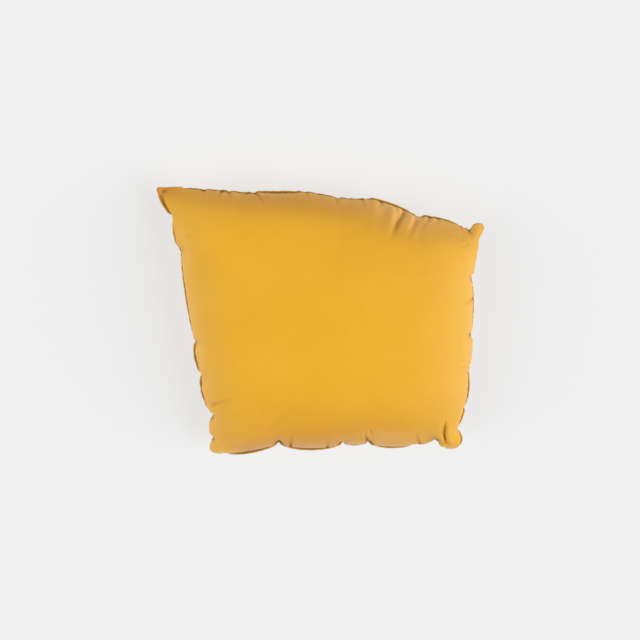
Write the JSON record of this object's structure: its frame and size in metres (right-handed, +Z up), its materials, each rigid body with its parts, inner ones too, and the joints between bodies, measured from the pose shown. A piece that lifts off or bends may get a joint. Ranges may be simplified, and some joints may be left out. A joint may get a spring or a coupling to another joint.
{
  "type": "square scatter cushion",
  "caption": "Filled square scatter cushion in plain velvet with a knife-edge seam, puckered sides and soft corner ears, lying on its back.",
  "frame": {"origin": "centre of the cushion's box in plan, on the surface that it lies on", "axes": "+Z up out of the face, +X across the face to the right, +Y towards the edge that is at the top of the picture"},
  "size_m": [0.4724, 0.4442, 0.116],
  "materials": {
    "cover": "short-pile velvet, mustard yellow"
  },
  "bodies": {
    "root": {"cushion": "cover"}
  },
  "joints": []
}
